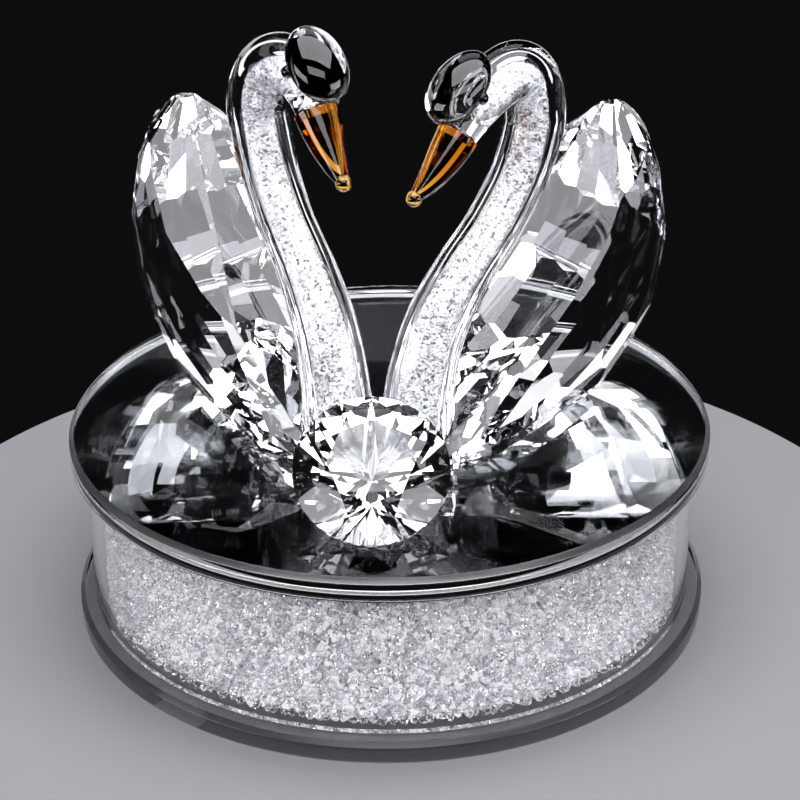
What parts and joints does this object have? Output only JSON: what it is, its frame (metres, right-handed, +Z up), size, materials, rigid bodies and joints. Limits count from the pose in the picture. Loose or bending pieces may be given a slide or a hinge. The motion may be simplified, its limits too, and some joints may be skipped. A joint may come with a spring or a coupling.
{
  "type": "crystal swan figurine",
  "caption": "Clear crystal swans with chip-filled necks and amber beaks face each other behind a cut gem, on a round chip-filled glass base.",
  "frame": {"origin": "centre of the underside of the round base", "axes": "+Z up, -Y towards the front, where the cut gem lies, +X to the right-hand swan"},
  "size_m": [0.12, 0.12, 0.1172],
  "materials": {
    "clear_crystal": "clear polished faceted crystal",
    "mirror_backed_glass": "clear polished plate over a mirror backing",
    "chip_filled_glass": "clear glass round a filling of clear glass chips",
    "amber_glass": "clear amber glass, fire polished",
    "black_glass": "glossy black glass bead"
  },
  "bodies": {
    "root": {"bottom_disc": "clear_crystal", "top_disc": "mirror_backed_glass", "drum": "chip_filled_glass", "diamond": "clear_crystal", "left_swan_body": "clear_crystal", "left_swan_neck": "chip_filled_glass", "left_swan_beak": "amber_glass", "left_swan_eye_inner": "black_glass", "left_swan_eye_outer": "black_glass", "right_swan_body": "clear_crystal", "right_swan_neck": "chip_filled_glass", "right_swan_beak": "amber_glass", "right_swan_eye_inner": "black_glass", "right_swan_eye_outer": "black_glass"}
  },
  "joints": []
}
